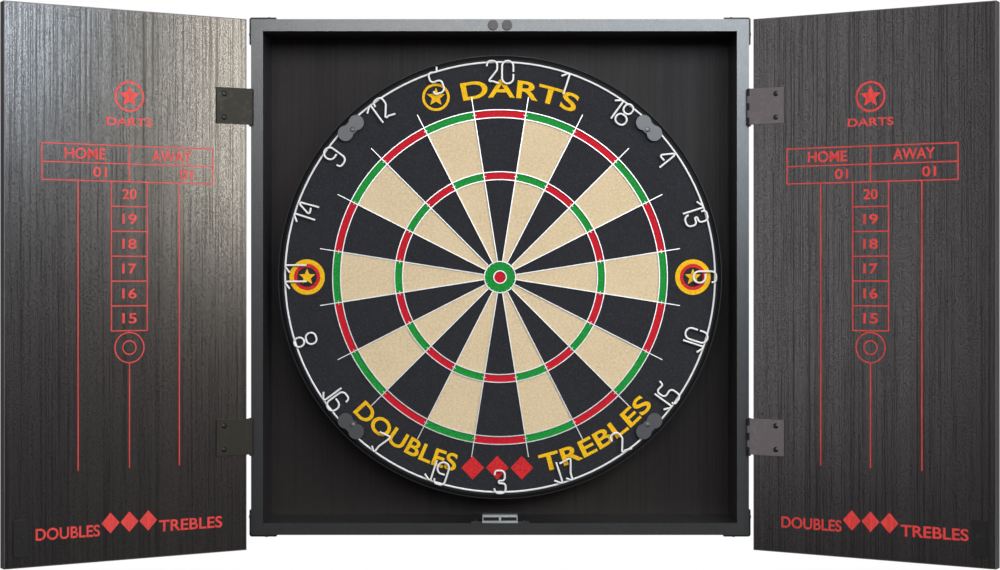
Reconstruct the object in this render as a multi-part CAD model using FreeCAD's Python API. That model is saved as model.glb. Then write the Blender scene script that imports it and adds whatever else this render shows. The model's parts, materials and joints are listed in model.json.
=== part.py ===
"""Wall-hung dart board cabinet: a shallow case, two hinged doors and a bristle board on its hanger.

Millimetres. The origin is the centre of the back face, which lies against the wall.
+X runs to the right, +Y into the wall and +Z up, so the doors are on the -Y side.
Right-hand door pieces are made closed, swung to their rest angle and mirrored for the left door.
"""
import FreeCAD
import Part
import math
import os

from FreeCAD import Vector

# Case
cabinet_width = 500.0
cabinet_height = 518.0
panel_thickness = 12.0
inner_depth = 70.0
back_panel_thickness = 5.0
back_rebate = 6.0
dowel_radius = 3.0
dowel_in_cap = 8.0
dowel_in_side = 16.0
dowel_insets = (20.0, 50.0)
wall_hole_spacing = 300.0
wall_hole_radius = 3.0

# Doors
door_meeting_gap = 2.0
door_thickness = 12.0
door_top_drop = 1.0
door_bottom_overhang = 14.0
door_rest_angle = 149.0
edge_band_thickness = 0.8

# Hinges
hinge_leaf_width = 37.5
hinge_leaf_height = 36.0
hinge_leaf_thickness = 1.3
knuckle_radius = 2.75
knuckle_count = 5
knuckle_side_gap = 0.2
knuckle_notch_gap = 0.35
leaf_to_case_gap = 0.5
axis_to_door_edge = 5.0
hinge_pin_radius = 1.4
hinge_pin_top = 0.4
hinge_pin_bottom = 1.6
upper_hinge_below_top = 88.5
lower_hinge_above_bottom = 99.4
hinge_screw_from_edge = 8.0
hinge_screw_pitch = 23.5

# Screws
small_screw_radius = 1.4
small_head_radius = 2.7
small_head_height = 1.5
hinge_screw_length = 9.0
recess_depth = 0.8
recess_width = 0.7
recess_reach = 0.55

# Corner brackets
bracket_leg = 25.0
bracket_thickness = 1.8
bracket_depth = 20.0
bracket_setback = 1.0
bracket_outer_radius = 2.6
bracket_hole_far = 17.0
bracket_screw_past_joint = 2.2
bracket_head_height = 1.9
bracket_screw_length = 10.0

# Door bumpers and magnetic catch
bumper_radius = 5.2
bumper_spacing = 14.1
bumper_to_door_gap = 0.1
catch_half_width = 17.6
catch_height = 8.3
catch_depth = 14.0
catch_wall = 0.9
catch_ear_reach = 29.0
catch_ear_thickness = 1.2
catch_ear_depth = 10.0
catch_screw_offset = 24.2
pole_plate_width = 15.4
pole_plate_thickness = 1.4
pole_plate_depth = 11.0
pole_plate_proud = 0.5
magnet_thickness = 3.6
magnet_setback = 0.6
catch_contact_gap = 0.1
catch_screw_length = 10.0

# Strike plates
strike_width = 13.8
strike_height = 34.5
strike_thickness = 1.0
strike_from_free_edge = 8.7
strike_centre_above_floor = 1.75
strike_corner_radius = 1.5
strike_head_radius = 4.0
strike_head_height = 2.4
strike_screw_length = 9.0

# Board
board_radius = 225.5
board_thickness = 38.0
board_back_gap = 10.0
backing_thickness = 8.0
band_thickness = 0.8
double_ring = (162.0, 170.0)
treble_ring = (99.0, 107.0)
outer_bull_radius = 15.9
inner_bull_radius = 6.35
web_wire_width = 0.9
web_wire_height = 1.2
spoke_outer_radius = 185.0
sector_count = 20

# Number ring
number_ring_radius = 218.3
ring_wire_radius = 1.0
numeral_wire_radius = 1.0
numeral_outer_line = 219.3
numeral_height = 23.0
numeral_gap = 3.0

# Turn clips that hold the number ring
clip_pivot_radius = 211.5
clip_centre_radius = 213.8
clip_lobe_radius = 7.8
clip_lobe_spacing = 15.4
clip_waist = 11.4
clip_thickness = 2.2
clip_over_ring_gap = 0.3
clip_boss_radius = 4.2
clip_boss_gap = 0.1
clip_screw_length = 12.0

# Board hanger
hanger_sheet = 2.0
hanger_height = 70.0
hanger_web_half = 22.0
hanger_flange_half = 38.0
hanger_web_gap = 2.5
hanger_screw_rows = 22.0
hanger_screw_length = 6.0
hanger_bolt_radius = 3.0
hanger_bolt_head_radius = 8.0
hanger_bolt_head_height = 2.6
hanger_bolt_collar_radius = 6.0
hanger_bolt_depth = 7.0
hanger_slot_mouth = 9.0
support_radius = 10.0
support_circle = 185.0
support_to_back_gap = 0.3
support_count = 3

# Fits
hole_gap = 0.05
running_gap = 0.05
pocket_gap = 0.1
face_gap = 0.05
slide_gap = 0.3

# Places worked out from the sizes above
half_width = cabinet_width / 2
half_height = cabinet_height / 2
case_depth = inner_depth + back_panel_thickness
front_y = -case_depth
back_inner_y = -back_panel_thickness
inner_half_width = half_width - panel_thickness
floor_z = -half_height + panel_thickness
ceiling_z = half_height - panel_thickness

hinge_x = half_width
hinge_y = front_y - leaf_to_case_gap - knuckle_radius
door_face_y = hinge_y + knuckle_radius - hinge_leaf_thickness
door_gap = front_y - door_face_y
door_hinge_edge_x = hinge_x - axis_to_door_edge
door_width = door_hinge_edge_x - door_meeting_gap / 2
door_free_edge_x = door_hinge_edge_x - door_width
door_top_z = half_height - door_top_drop
door_bottom_z = -half_height - door_bottom_overhang

bracket_hole_near = panel_thickness + bracket_screw_past_joint

board_back_y = back_inner_y - board_back_gap
board_face_y = board_back_y - board_thickness
ring_plane_y = board_face_y - face_gap - ring_wire_radius
numeral_plane_y = ring_plane_y - ring_wire_radius - face_gap - numeral_wire_radius
clip_back_y = ring_plane_y - ring_wire_radius - clip_over_ring_gap

x_axis = Vector(1, 0, 0)
y_axis = Vector(0, 1, 0)
z_axis = Vector(0, 0, 1)
origin = Vector(0, 0, 0)


# ---- helpers ----

def save(node, *solids):
    shape = solids[0] if len(solids) == 1 else Part.makeCompound(list(solids))
    shape.exportStep(f"parts/{node}.step")
    print(f"{node}: {len(shape.Solids)} solid(s), volume {shape.Volume:.0f}, valid {shape.isValid()}")


def block(low, high):
    size = Vector(*high) - Vector(*low)
    return Part.makeBox(size.x, size.y, size.z, Vector(*low))


def rod(radius, start, direction, length):
    return Part.makeCylinder(radius, length, Vector(*start), Vector(*direction))


def ring(outer, inner, start, direction, length):
    return rod(outer, start, direction, length).cut(rod(inner, start, direction, length))


def fused(solids):
    return solids[0].multiFuse(solids[1:]).removeSplitter() if len(solids) > 1 else solids[0]


def without(solid, *tools):
    for tool in tools:
        solid = solid.cut(tool)
    return solid


def mirrored(solid):
    return solid.mirror(origin, x_axis)


def turned(solid, angle, centre=origin, axis=y_axis):
    copy = solid.copy()
    copy.rotate(centre, axis, angle)
    return copy


def outward(solid, direction):
    """Turns a solid made along +Z so that it points along direction."""
    copy = solid.copy()
    copy.Placement = FreeCAD.Placement(origin, FreeCAD.Rotation(z_axis, Vector(*direction)))
    return copy


def revolved(profile):
    """Revolves points (radius, height) about Z. The profile starts and ends on the axis."""
    points = [Vector(radius, 0, height) for radius, height in profile]
    face = Part.Face(Part.makePolygon(points + points[:1]))
    return face.revolve(origin, z_axis, 360)


def cross_recess(top, reach):
    half = recess_width / 2
    low = top - recess_depth
    first = block((-reach, -half, low), (reach, half, top + 1))
    second = block((-half, -reach, low), (half, reach, top + 1))
    return first.fuse(second)


def dome_screw(seat, direction, length, radius=small_screw_radius,
               head_radius=small_head_radius, head_height=small_head_height):
    """A dome-head screw. direction points from its seat out through the head."""
    sphere_radius = (head_radius ** 2 + head_height ** 2) / (2 * head_height)
    ball = Part.makeSphere(sphere_radius, Vector(0, 0, head_height - sphere_radius))
    head = ball.common(rod(head_radius, (0, 0, 0), (0, 0, 1), head_height + 1))
    shank = rod(radius, (0, 0, -length), (0, 0, 1), length)
    tip_chamfer = radius / 2
    shank = shank.makeChamfer(tip_chamfer, [edge for edge in shank.Edges
                                            if abs(edge.CenterOfMass.z + length) < 0.001])
    screw = head.fuse(shank).removeSplitter()
    screw = screw.cut(cross_recess(head_height, head_radius * recess_reach))
    screw = outward(screw, direction)
    screw.translate(Vector(*seat))
    return screw


def screw_hole(seat, direction, length, radius=small_screw_radius):
    """The pilot hole for a screw, a little past its tip and out through its seat."""
    end = Vector(*seat) - Vector(*direction) * (length + hole_gap)
    return Part.makeCylinder(radius + hole_gap, length + hole_gap + 1, end, Vector(*direction))


def countersunk_form(gap):
    """A countersunk screw's body with its flat head at z = 0, made larger all over by gap."""
    head = strike_head_radius + gap
    shank = small_screw_radius + gap
    tip = -strike_screw_length - gap
    return revolved([(0, 0), (head, 0), (shank, -strike_head_height), (shank, tip), (0, tip)])


# ---- case ----

def hinge_centres():
    return [half_height - upper_hinge_below_top, lower_hinge_above_bottom - half_height]


def dowel_places():
    places = []
    for side in (-1, 1):
        for inset in dowel_insets:
            places.append((side * (half_width - panel_thickness / 2), -inset))
    return places


def dowels(radius, past):
    solids = []
    for x, y in dowel_places():
        for end in (-1, 1):
            joint = end * ceiling_z
            start = joint - end * (dowel_in_side + past)
            length = dowel_in_side + dowel_in_cap + 2 * past
            solids.append(rod(radius, (x, y, start), (0, 0, end), length))
    return solids


def back_seat():
    reach_x = inner_half_width + back_rebate
    reach_z = ceiling_z + back_rebate
    return block((-reach_x, back_inner_y, -reach_z), (reach_x, 0, reach_z))


def bracket_screw_seats():
    """Seats and directions of the eight corner bracket screws."""
    seats = []
    middle_y = front_y + bracket_setback + bracket_depth / 2
    for side in (-1, 1):
        for end in (-1, 1):
            flat = bracket_hole_far if end > 0 else bracket_hole_near
            upright = bracket_hole_near if end > 0 else bracket_hole_far
            z = end * (half_height + bracket_thickness)
            seats.append(((side * (half_width - flat), middle_y, z), (0, 0, end)))
            x = side * (half_width + bracket_thickness)
            seats.append(((x, middle_y, end * (half_height - upright)), (side, 0, 0)))
    return seats


def frame_leaf_screw_seats(side):
    seats = []
    y = hinge_y + hinge_leaf_width - hinge_screw_from_edge
    for centre in hinge_centres():
        for offset in (-hinge_screw_pitch / 2, hinge_screw_pitch / 2):
            seat = (side * (hinge_x + hinge_leaf_thickness), y, centre + offset)
            seats.append((seat, (side, 0, 0)))
    return seats


def catch_screw_seats():
    y = catch_front_y() + catch_depth - catch_ear_depth / 2
    z = floor_z + catch_ear_thickness
    return [((side * catch_screw_offset, y, z), (0, 0, 1)) for side in (-1, 1)]


def cap_panel(end):
    low_z, high_z = sorted((end * ceiling_z, end * half_height))
    panel = block((-half_width, front_y, low_z), (half_width, 0, high_z))
    panel = without(panel, back_seat(), *dowels(dowel_radius + hole_gap, hole_gap))
    for seat, direction in bracket_screw_seats():
        if direction[2] == end:
            panel = panel.cut(screw_hole(seat, direction, bracket_screw_length))
    if end < 0:
        for seat, direction in catch_screw_seats():
            panel = panel.cut(screw_hole(seat, direction, catch_screw_length))
    return panel


def side_panel(side):
    low_x, high_x = sorted((side * inner_half_width, side * half_width))
    panel = block((low_x, front_y, floor_z), (high_x, 0, ceiling_z))
    panel = without(panel, back_seat(), *dowels(dowel_radius + hole_gap, hole_gap))
    for seat, direction in bracket_screw_seats():
        if direction[0] == side:
            panel = panel.cut(screw_hole(seat, direction, bracket_screw_length))
    for seat, direction in frame_leaf_screw_seats(side):
        panel = panel.cut(screw_hole(seat, direction, hinge_screw_length))
    return panel


def back_panel():
    panel = back_seat()
    for x in (-wall_hole_spacing / 2, wall_hole_spacing / 2):
        for z in (-wall_hole_spacing / 2, wall_hole_spacing / 2):
            panel = panel.cut(rod(wall_hole_radius, (x, -case_depth, z), (0, 1, 0), 2 * case_depth))
    for seat, direction in hanger_screw_seats():
        panel = panel.cut(screw_hole(seat, direction, hanger_screw_length))
    return panel


def corner_bracket(side, end):
    """A strip bent over one outer corner of the case. Made at the top right, then mirrored."""
    y = front_y + bracket_setback
    reach = half_width + bracket_thickness
    top = half_height + bracket_thickness
    outer = block((half_width - bracket_leg, y, half_height - bracket_leg),
                  (reach, y + bracket_depth, top))
    corner = [edge for edge in outer.Edges
              if abs(edge.CenterOfMass.x - reach) < 0.01 and abs(edge.CenterOfMass.z - top) < 0.01]
    outer = outer.makeFillet(bracket_outer_radius, corner)
    bracket = outer.cut(block((-reach, y - 1, -top), (half_width, y + bracket_depth + 1, half_height)))
    if side < 0:
        bracket = mirrored(bracket)
    if end < 0:
        bracket = bracket.mirror(origin, z_axis)
    for seat, direction in bracket_screw_seats():
        bracket = bracket.cut(screw_hole(seat, direction, bracket_screw_length))
    return bracket


def door_bumper(side):
    thickness = door_gap - bumper_to_door_gap
    centre = (side * bumper_spacing / 2, front_y, (ceiling_z + half_height) / 2)
    pad = rod(bumper_radius, centre, (0, -1, 0), thickness)
    rim = [edge for edge in pad.Edges if abs(edge.CenterOfMass.y - (front_y - thickness)) < 0.001]
    return pad.makeFillet(min(0.6, thickness / 3), rim)


# ---- magnetic catch ----

def catch_front_y():
    """Where the pole plates' front edges wait for the strike plates."""
    return door_face_y + strike_thickness + catch_contact_gap + pole_plate_proud


def catch_halves():
    """Low and high x of each half's stack of magnet and pole plates."""
    outer = catch_half_width - catch_wall - pocket_gap
    inner = outer - pole_plate_width
    return [(-outer, -inner), (inner, outer)]


def stack_levels():
    """Heights of the lower plate, the magnet and the upper plate, each (low, high)."""
    stack = 2 * pole_plate_thickness + magnet_thickness
    base = floor_z + catch_height - catch_wall - pocket_gap - stack
    first = base + pole_plate_thickness
    second = first + magnet_thickness
    return (base, first), (first, second), (second, base + stack)


def catch_housing():
    front = catch_front_y()
    back = front + catch_depth
    body = block((-catch_half_width, front, floor_z),
                 (catch_half_width, back, floor_z + catch_height))
    ears = block((-catch_ear_reach, back - catch_ear_depth, floor_z),
                 (catch_ear_reach, back, floor_z + catch_ear_thickness))
    housing = body.fuse(ears).removeSplitter()
    lower, _, upper = stack_levels()
    for low_x, high_x in catch_halves():
        pocket = block((low_x - pocket_gap, front - 1, lower[0] - pocket_gap),
                       (high_x + pocket_gap, front + pole_plate_depth, upper[1] + pocket_gap))
        housing = housing.cut(pocket)
    for seat, direction in catch_screw_seats():
        housing = housing.cut(screw_hole(seat, direction, catch_screw_length))
    return housing


def catch_pole_plates():
    front = catch_front_y() - pole_plate_proud
    back = catch_front_y() + pole_plate_depth
    lower, _, upper = stack_levels()
    return [block((low_x, front, level[0]), (high_x, back, level[1]))
            for low_x, high_x in catch_halves() for level in (lower, upper)]


def catch_magnets():
    front = catch_front_y() + magnet_setback
    back = catch_front_y() + pole_plate_depth
    _, level, _ = stack_levels()
    return [block((low_x, front, level[0]), (high_x, back, level[1]))
            for low_x, high_x in catch_halves()]


# ---- hinges, made for the right side with the door closed ----

def knuckle_spans(centre):
    pitch = hinge_leaf_height / knuckle_count
    top = centre + hinge_leaf_height / 2
    return [(top - (index + 1) * pitch, top - index * pitch) for index in range(knuckle_count)]


def leaf_with_knuckles(plate, centre, own, bore_radius):
    """Adds a leaf's own knuckles to its plate and clears the other leaf's."""
    half_gap = knuckle_side_gap / 2
    leaf = plate
    for index, (low, high) in enumerate(knuckle_spans(centre)):
        if index % 2 == own:
            start = (hinge_x, hinge_y, low + half_gap)
            leaf = leaf.fuse(rod(knuckle_radius, start, (0, 0, 1), high - low - 2 * half_gap))
        else:
            clear = rod(knuckle_radius + knuckle_notch_gap, (hinge_x, hinge_y, low - half_gap),
                        (0, 0, 1), high - low + 2 * half_gap)
            leaf = leaf.cut(clear)
    below = (hinge_x, hinge_y, centre - hinge_leaf_height)
    return leaf.cut(rod(bore_radius, below, (0, 0, 1), 2 * hinge_leaf_height)).removeSplitter()


def frame_leaf(centre):
    """The leaf on the case's outer side face, with knuckles 1, 3 and 5."""
    half = hinge_leaf_height / 2
    plate = block((hinge_x, hinge_y, centre - half),
                  (hinge_x + hinge_leaf_thickness, hinge_y + hinge_leaf_width, centre + half))
    leaf = leaf_with_knuckles(plate, centre, 0, hinge_pin_radius)
    for seat, direction in frame_leaf_screw_seats(1):
        leaf = leaf.cut(screw_hole(seat, direction, hinge_screw_length))
    return leaf


def door_leaf(centre):
    """The leaf on the door's inner face, with knuckles 2 and 4."""
    half = hinge_leaf_height / 2
    plate = block((hinge_x - hinge_leaf_width, door_face_y, centre - half),
                  (hinge_x, door_face_y + hinge_leaf_thickness, centre + half))
    leaf = leaf_with_knuckles(plate, centre, 1, hinge_pin_radius + running_gap)
    for seat, direction in door_leaf_screw_seats():
        leaf = leaf.cut(screw_hole(seat, direction, hinge_screw_length))
    return leaf


def hinge_pin(centre):
    low = centre - hinge_leaf_height / 2 - hinge_pin_bottom
    high = centre + hinge_leaf_height / 2 + hinge_pin_top
    pin = rod(hinge_pin_radius, (hinge_x, hinge_y, low), (0, 0, 1), high - low)
    ends = [edge for edge in pin.Edges if len(edge.Vertexes) == 1]
    return pin.makeChamfer(hinge_pin_top / 2, ends)


def door_leaf_screw_seats():
    seats = []
    x = hinge_x - hinge_leaf_width + hinge_screw_from_edge
    for centre in hinge_centres():
        for offset in (-hinge_screw_pitch / 2, hinge_screw_pitch / 2):
            seats.append(((x, door_face_y + hinge_leaf_thickness, centre + offset), (0, 1, 0)))
    return seats


# ---- right door, closed ----

def strike_centre():
    x = door_free_edge_x + strike_from_free_edge + strike_width / 2
    z = floor_z + strike_centre_above_floor
    return x, z


def in_strike(form):
    """Puts a screw or a hole form, made with its head at z = 0, in the middle of the strike plate."""
    x, z = strike_centre()
    placed = outward(form, (0, 1, 0))
    placed.translate(Vector(x, door_face_y + strike_thickness, z))
    return placed


def strike_screw():
    return in_strike(countersunk_form(0).cut(cross_recess(0, strike_head_radius * recess_reach)))


def strike_plate():
    x, z = strike_centre()
    plate = block((x - strike_width / 2, door_face_y, z - strike_height / 2),
                  (x + strike_width / 2, door_face_y + strike_thickness, z + strike_height / 2))
    corners = [edge for edge in plate.Edges if abs(edge.tangentAt(edge.FirstParameter).y) > 0.9]
    return plate.makeFillet(strike_corner_radius, corners).cut(in_strike(countersunk_form(hole_gap)))


def door_panel():
    band = edge_band_thickness
    panel = block((door_free_edge_x + band, door_face_y - door_thickness, door_bottom_z + band),
                  (door_hinge_edge_x - band, door_face_y, door_top_z - band))
    for seat, direction in door_leaf_screw_seats():
        panel = panel.cut(screw_hole(seat, direction, hinge_screw_length))
    return panel.cut(in_strike(countersunk_form(hole_gap)))


def door_edge_bands():
    """Four thin strips around the door's edges: two full height, two between them."""
    band = edge_band_thickness
    back = door_face_y - door_thickness
    strips = []
    for low in (door_free_edge_x, door_hinge_edge_x - band):
        strips.append(block((low, back, door_bottom_z), (low + band, door_face_y, door_top_z)))
    for low in (door_bottom_z, door_top_z - band):
        strips.append(block((door_free_edge_x + band, back, low),
                            (door_hinge_edge_x - band, door_face_y, low + band)))
    return strips


def opened(solid, side):
    """Swings a right-hand door piece from closed to its rest angle, and mirrors it for the left."""
    swung = turned(solid, door_rest_angle, Vector(hinge_x, hinge_y, 0), z_axis)
    return swung if side > 0 else mirrored(swung)


# ---- board hanger ----

def hanger_screw_seats():
    x = (hanger_web_half + hanger_flange_half) / 2
    y = back_inner_y - hanger_sheet
    return [((side * x, y, row * hanger_screw_rows), (0, -1, 0)) for side in (-1, 1) for row in (-1, 1)]


def hanger_web_y():
    """Back and front faces of the hanger's raised web."""
    front = board_back_y + hanger_web_gap
    return front + hanger_sheet, front


def board_hanger():
    half = hanger_height / 2
    web_back, web_front = hanger_web_y()
    base_front = back_inner_y - hanger_sheet
    riser = hanger_web_half + hanger_sheet
    sheets = [block((-hanger_web_half, web_front, -half), (hanger_web_half, web_back, half))]
    for inner, outer, front in ((hanger_web_half, riser, web_front), (riser, hanger_flange_half, base_front)):
        sheets.append(block((inner, front, -half), (outer, back_inner_y, half)))
        sheets.append(block((-outer, front, -half), (-inner, back_inner_y, half)))
    hanger = fused(sheets)
    slot_radius = hanger_bolt_radius + running_gap
    right_edge = [(slot_radius, 0), (slot_radius, half / 2), (hanger_slot_mouth, half)]
    outline = right_edge + [(-x, z) for x, z in reversed(right_edge)]
    mouth = [Vector(x, web_front, z) for x, z in outline]
    slot = Part.Face(Part.makePolygon(mouth + mouth[:1])).extrude(Vector(0, hanger_sheet, 0))
    seat = rod(slot_radius, (0, web_front, 0), (0, 1, 0), hanger_sheet)
    hanger = without(hanger, slot, seat)
    for screw_seat, direction in hanger_screw_seats():
        hanger = hanger.cut(screw_hole(screw_seat, direction, hanger_screw_length))
    return hanger


def hanger_bolt():
    """The shouldered bolt in the board's back. Its head hangs behind the hanger's web."""
    web_back, web_front = hanger_web_y()
    head_front = web_back + slide_gap
    profile = [(0, -hanger_bolt_depth), (hanger_bolt_radius, -hanger_bolt_depth), (hanger_bolt_radius, 0),
               (hanger_bolt_collar_radius, 0), (hanger_bolt_collar_radius, hanger_web_gap - slide_gap),
               (hanger_bolt_radius, hanger_web_gap - slide_gap),
               (hanger_bolt_radius, head_front - board_back_y),
               (hanger_bolt_head_radius, head_front - board_back_y),
               (hanger_bolt_head_radius, head_front - board_back_y + hanger_bolt_head_height),
               (0, head_front - board_back_y + hanger_bolt_head_height)]
    bolt = outward(revolved(profile), (0, 1, 0))
    bolt.translate(Vector(0, board_back_y, 0))
    return bolt


# ---- board ----

def around(radius, degrees, y):
    """A point on the board, with degrees clockwise from the top as seen from the front."""
    angle = math.radians(degrees)
    return Vector(radius * math.sin(angle), y, radius * math.cos(angle))


def clip_angles():
    return {"top_right": 45.0, "bottom_right": 135.0, "bottom_left": 225.0, "top_left": 315.0}


def board_backing():
    disc = rod(board_radius - band_thickness, (0, board_back_y, 0), (0, -1, 0), backing_thickness)
    depth = hanger_bolt_depth + hole_gap
    return disc.cut(rod(hanger_bolt_radius + hole_gap, (0, board_back_y, 0), (0, -1, 0), depth))


def sisal_disc():
    start = board_back_y - backing_thickness
    disc = rod(board_radius - band_thickness, (0, start, 0), (0, -1, 0), start - board_face_y)
    for degrees in clip_angles().values():
        seat = around(clip_pivot_radius, degrees, clip_back_y - clip_thickness)
        disc = disc.cut(screw_hole(tuple(seat), (0, -1, 0), clip_screw_length))
    return disc


def board_band():
    inner = board_radius - band_thickness
    return ring(board_radius, inner, (0, board_back_y, 0), (0, -1, 0), board_thickness)


def web_ring(radius):
    half = web_wire_width / 2
    return ring(radius + half, radius - half, (0, board_face_y, 0), (0, -1, 0), web_wire_height)


def spider_web():
    """The scoring wires: two rings each for the doubles and trebles, and twenty spokes."""
    half = web_wire_width / 2
    wires = [web_ring(radius) for radius in double_ring + treble_ring]
    spoke = block((-half, board_face_y - web_wire_height, outer_bull_radius + web_wire_width),
                  (half, board_face_y, spoke_outer_radius))
    step = 360.0 / sector_count
    for index in range(sector_count):
        wires.append(turned(spoke, (index + 0.5) * step))
    return fused(wires)


def bull_rings():
    return [web_ring(outer_bull_radius), web_ring(inner_bull_radius)]


# ---- number ring ----

def number_ring():
    return Part.makeTorus(number_ring_radius, ring_wire_radius, Vector(0, ring_plane_y, 0), y_axis)


def rounded_path(points):
    """Straight runs joined by tangent arcs. Each point is (x, z, bend radius)."""
    corners = [Vector(x, 0, z) for x, z, _ in points]
    edges = []
    start = corners[0]
    for index in range(1, len(corners) - 1):
        corner = corners[index]
        into = (corner - corners[index - 1]).normalize()
        out = (corners[index + 1] - corner).normalize()
        half_turn = into.getAngle(out) / 2
        tangent = points[index][2] * math.tan(half_turn)
        first = corner - into * tangent
        last = corner + out * tangent
        sagitta = points[index][2] * (1 / math.cos(half_turn) - 1)
        middle = corner + (out - into).normalize() * sagitta
        if (first - start).Length > 0.001:
            edges.append(Part.makeLine(start, first))
        edges.append(Part.Arc(first, middle, last).toShape())
        start = last
    edges.append(Part.makeLine(start, corners[-1]))
    return Part.Wire(edges)


def wire_form(points):
    path = rounded_path(points)
    start = path.Vertexes[0].Point
    direction = path.Edges[0].tangentAt(path.Edges[0].FirstParameter)
    profile = Part.Wire(Part.makeCircle(numeral_wire_radius, start, direction))
    return path.makePipeShell([profile], True, True)


top = numeral_height

# Each digit is one or two bent wires of points (x, z, bend radius), from its left edge at x = 0.
digit_wires = {
    "0": (11.5, [[(11.5, 11.9, 0), (11.5, top, 5.7), (0, top, 5.7), (0, 0, 5.7), (11.5, 0, 5.7),
                  (11.5, 9.6, 0)]]),
    "1": (7.5, [[(0, 17.0, 0), (7.5, top, 1.5), (7.5, 0, 0)]]),
    "2": (12.5, [[(0, 17.6, 0), (0.8, top, 3.6), (10.6, top, 4.4), (10.6, 14.0, 4.0), (0.6, 1.2, 1.15),
                  (5.5, 2.6, 3.0), (12.5, 0, 0)]]),
    "3": (11.5, [[(0.3, 18.4, 0), (0.6, top, 3.0), (10.6, top, 4.4), (10.6, 12.9, 3.2), (4.4, 12.6, 1.15),
                  (4.4, 10.1, 1.15), (11.5, 9.8, 3.2), (11.5, 0, 4.6), (0, 0, 4.6), (0, 5.0, 0)]]),
    "4": (10.5, [[(10.5, 0, 0), (9.3, top, 1.3), (0, 7.0, 1.6), (7.6, 7.9, 0)]]),
    "5": (12.0, [[(10.6, top + 3.4, 0), (9.2, top - 1.6, 1.8), (0, top, 3.2), (0, 12.0, 3.6),
                  (11.2, 13.0, 4.0), (11.2, 0, 4.6), (0.6, 0, 2.4), (0, 3.6, 0)]]),
    "6": (11.5, [[(11.2, 18.4, 0), (10.4, top, 3.2), (0, top, 5.0), (0, 0, 5.6), (11.5, 0, 5.6),
                  (11.5, 12.0, 5.4), (2.4, 12.0, 0)]]),
    "7": (12.5, [[(0, 20.6, 0), (12.5, top, 1.6), (7.6, 8.0, 9.0), (7.6, 0, 1.3), (1.6, 4.4, 0)]]),
    "8": (11.5, [[(10.4, 17.9, 0), (10.4, top, 4.6), (1.1, top, 4.6), (1.1, 12.8, 4.6), (10.4, 12.8, 4.6),
                  (10.4, 17.5, 0)],
                 [(11.5, 5.4, 0), (11.5, 10.4, 4.9), (0, 10.4, 4.9), (0, 0, 4.9), (11.5, 0, 4.9),
                  (11.5, 5.0, 0)]]),
}
width_of_six, wires_of_six = digit_wires["6"]
digit_wires["9"] = (width_of_six, [[(width_of_six - x, top - z, bend) for x, z, bend in wire]
                                   for wire in wires_of_six])
width_of_one, wires_of_one = digit_wires["1"]
hooked_one = (width_of_one, [[(x, top - z, bend) for x, z, bend in wire] for wire in wires_of_one])

board_numbers = (20, 1, 18, 4, 13, 6, 10, 15, 2, 17, 3, 19, 7, 16, 8, 11, 14, 9, 12, 5)
upright_numbers = (10, 15, 2, 17, 3, 19, 7, 16)
wide_gap_number = 11
wide_gap = 9.0


def numeral(number, degrees):
    """One number of the ring. Those of the lower half stand upright, with their feet at the ring."""
    upright = number in upright_numbers
    gap = wide_gap if number == wide_gap_number else numeral_gap
    digits = [hooked_one if upright and digit == "1" else digit_wires[digit] for digit in str(number)]
    total = sum(width for width, _ in digits) + gap * (len(digits) - 1)
    solids = []
    x = -total / 2
    for width, wires in digits:
        for wire in wires:
            solid = wire_form(wire)
            solid.translate(Vector(x, 0, 0))
            solids.append(solid)
        x += width + gap
    placed = []
    for solid in solids:
        if upright:
            solid.translate(Vector(0, numeral_plane_y, -numeral_outer_line))
            solid = turned(solid, degrees - 180)
        else:
            solid.translate(Vector(0, numeral_plane_y, numeral_outer_line - numeral_height))
            solid = turned(solid, degrees)
        placed.append(solid)
    return placed


def ring_numerals():
    step = 360.0 / sector_count
    solids = []
    for index, number in enumerate(board_numbers):
        solids += numeral(number, index * step)
    return solids


# ---- turn clips ----

def clip_outline():
    """The clip's double-lobed face at the top of the board, before it is turned to its place."""
    half = clip_lobe_spacing / 2
    centres = [(side * half, clip_back_y, clip_centre_radius) for side in (-1, 1)]
    lobes = [rod(clip_lobe_radius, centre, (0, -1, 0), clip_thickness) for centre in centres]
    waist = block((-half, clip_back_y - clip_thickness, clip_centre_radius - clip_waist / 2),
                  (half, clip_back_y, clip_centre_radius + clip_waist / 2))
    return fused([lobes[0], waist, lobes[1]])


def ring_clip(degrees):
    """A clip that lies over the number ring, with a boss down to the board's face at its pivot."""
    foot_y = board_face_y - clip_boss_gap
    boss = rod(clip_boss_radius, (0, foot_y, clip_pivot_radius), (0, -1, 0), foot_y - clip_back_y)
    clip = clip_outline().fuse(boss).removeSplitter()
    bore = rod(small_screw_radius + running_gap, (0, 0, clip_pivot_radius), (0, -1, 0), case_depth)
    return turned(clip.cut(bore), degrees)


def clip_screws():
    seat = (0, clip_back_y - clip_thickness - clip_boss_gap, clip_pivot_radius)
    screw = dome_screw(seat, (0, -1, 0), clip_screw_length)
    return [turned(screw, degrees) for degrees in clip_angles().values()]


def rear_supports():
    """Soft discs on the board's back that keep it off the back panel."""
    length = board_back_gap - support_to_back_gap
    solids = []
    for index in range(support_count):
        centre = around(support_circle, index * 360.0 / support_count, board_back_y)
        disc = rod(support_radius, tuple(centre), (0, 1, 0), length)
        solids.append(disc)
    return solids


# ---- write every piece ----

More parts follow.
